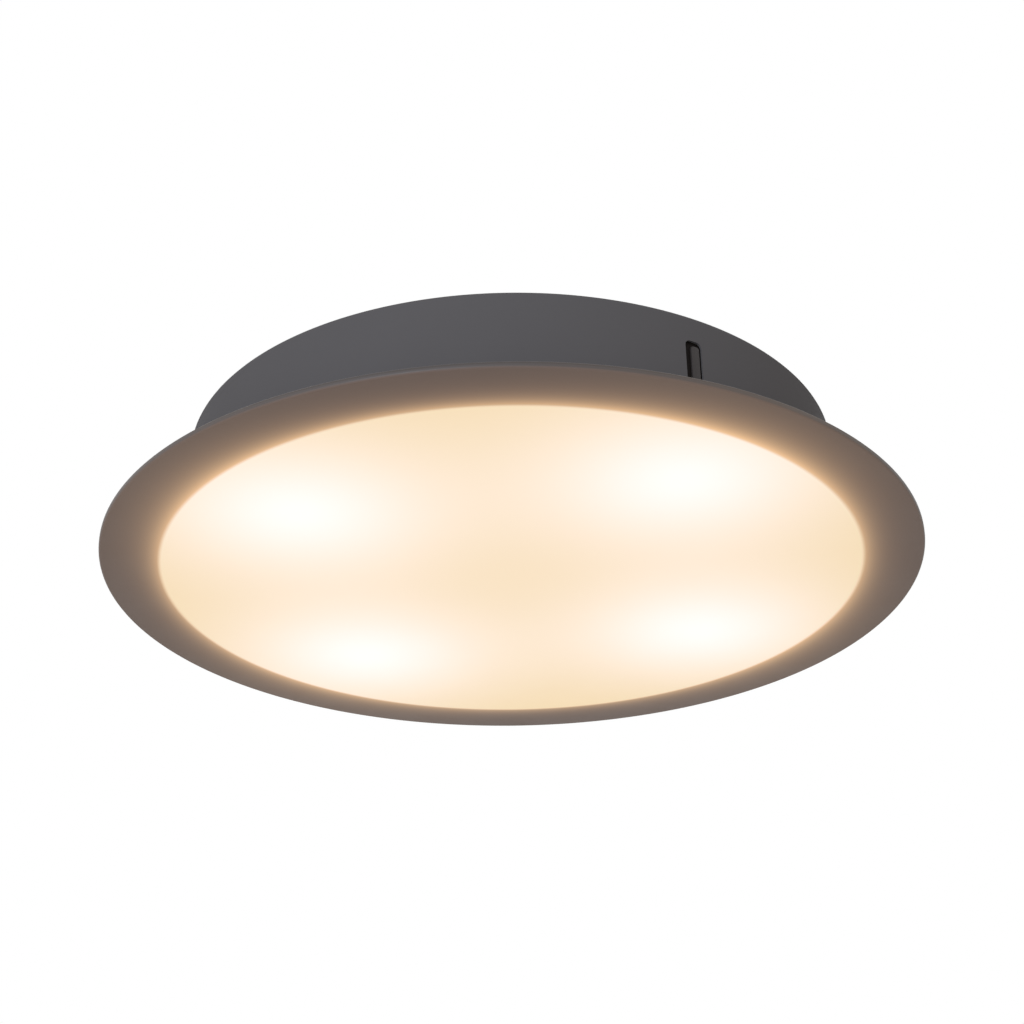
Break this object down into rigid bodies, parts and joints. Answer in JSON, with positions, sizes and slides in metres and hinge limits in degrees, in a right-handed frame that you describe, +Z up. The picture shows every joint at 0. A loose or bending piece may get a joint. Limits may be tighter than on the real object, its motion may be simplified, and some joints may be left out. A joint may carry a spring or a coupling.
{
  "type": "led ceiling light",
  "caption": "Flush round ceiling light: a shallow metal drum carries a wider flat opal glass disc on a sprung carrier ring, with plug-in lamps behind the glass.",
  "frame": {"origin": "centre of the drum's face against the ceiling", "axes": "+Z up into the ceiling, -Y towards the side that the picture shows"},
  "size_m": [0.3999, 0.4, 0.0635],
  "materials": {
    "drum_paint": "matte powder coat",
    "opal_glass": "satin opal",
    "white_paint": "satin",
    "galvanised_steel": "satin",
    "spring_steel": "satin",
    "zinc_fasteners": "satin",
    "black_rubber": "matte",
    "grey_foam": "matte",
    "clear_bond": "gloss",
    "holder_ceramic": "matte",
    "contact_brass": "bright",
    "lamp_base_plastic": "satin",
    "lamp_cover_plastic": "frosted",
    "pin_metal": "bright",
    "board_aluminium": "white mask",
    "block_plastic": "matte",
    "live_insulation": "satin",
    "neutral_insulation": "satin",
    "earth_insulation": "satin"
  },
  "bodies": {
    "fixture": {"housing": "drum_paint", "brim_ring": "drum_paint", "cable_grommet": "black_rubber", "terminal_block": "block_plastic", "clamp_screws": "zinc_fasteners", "terminal_screws": "zinc_fasteners", "earth_tag": "galvanised_steel", "earth_screw": "zinc_fasteners", "live_leads": "live_insulation", "neutral_leads": "neutral_insulation", "earth_lead": "earth_insulation", "lead_saddles": "block_plastic", "holder_contacts": "contact_brass", "holder_screws": "zinc_fasteners", "bracket_rivets": "zinc_fasteners", "lampholder_bracket_1": "galvanised_steel", "lampholder_bracket_2": "galvanised_steel", "lampholder_bracket_3": "galvanised_steel", "lampholder_bracket_4": "galvanised_steel", "lampholder_1": "holder_ceramic", "lampholder_2": "holder_ceramic", "lampholder_3": "holder_ceramic", "lampholder_4": "holder_ceramic"},
    "diffuser": {"glass_disc": "opal_glass", "bond_ring": "clear_bond", "carrier_ring": "white_paint", "light_gasket": "grey_foam", "clip_feet": "spring_steel", "clip_rivets": "zinc_fasteners"},
    "clip_1": {"clip_blade_1": "spring_steel"},
    "clip_2": {"clip_blade_2": "spring_steel"},
    "clip_3": {"clip_blade_3": "spring_steel"},
    "lamp_1": {"lamp_base_1": "lamp_base_plastic", "lamp_pins_1": "pin_metal", "lamp_cover_1": "lamp_cover_plastic", "led_board_1": "board_aluminium"},
    "lamp_2": {"lamp_base_2": "lamp_base_plastic", "lamp_pins_2": "pin_metal", "lamp_cover_2": "lamp_cover_plastic", "led_board_2": "board_aluminium"},
    "lamp_3": {"lamp_base_3": "lamp_base_plastic", "lamp_pins_3": "pin_metal", "lamp_cover_3": "lamp_cover_plastic", "led_board_3": "board_aluminium"},
    "lamp_4": {"lamp_base_4": "lamp_base_plastic", "lamp_pins_4": "pin_metal", "lamp_cover_4": "lamp_cover_plastic", "led_board_4": "board_aluminium"}
  },
  "joints": [
    {"name": "diffuser_drop", "type": "slide", "parent": "fixture", "child": "diffuser", "axis": [0, 0, -1], "range_m": [0, 0.1]},
    {"name": "clip_flex_1", "type": "hinge", "parent": "diffuser", "child": "clip_1", "pos_m": [0.07974, 0.13756, -0.0542], "axis": [0.8652, -0.5015, 0], "range_deg": [0, 5], "stiffness_Nm_per_rad": 0.4},
    {"name": "clip_flex_2", "type": "hinge", "parent": "diffuser", "child": "clip_2", "pos_m": [-0.159, 0.00028, -0.0542], "axis": [0.0017, 1, 0], "range_deg": [0, 5], "stiffness_Nm_per_rad": 0.4},
    {"name": "clip_flex_3", "type": "hinge", "parent": "diffuser", "child": "clip_3", "pos_m": [0.07926, -0.13784, -0.0542], "axis": [-0.8669, -0.4985, 0], "range_deg": [0, 5], "stiffness_Nm_per_rad": 0.4},
    {"name": "lamp_pull_1", "type": "slide", "parent": "fixture", "child": "lamp_1", "axis": [-0.5934, 0.8049, 0], "range_m": [0, 0.018]},
    {"name": "lamp_pull_2", "type": "slide", "parent": "fixture", "child": "lamp_2", "axis": [-0.8049, -0.5934, 0], "range_m": [0, 0.018]},
    {"name": "lamp_pull_3", "type": "slide", "parent": "fixture", "child": "lamp_3", "axis": [0.5934, -0.8049, 0], "range_m": [0, 0.018]},
    {"name": "lamp_pull_4", "type": "slide", "parent": "fixture", "child": "lamp_4", "axis": [0.8049, 0.5934, 0], "range_m": [0, 0.018]}
  ]
}
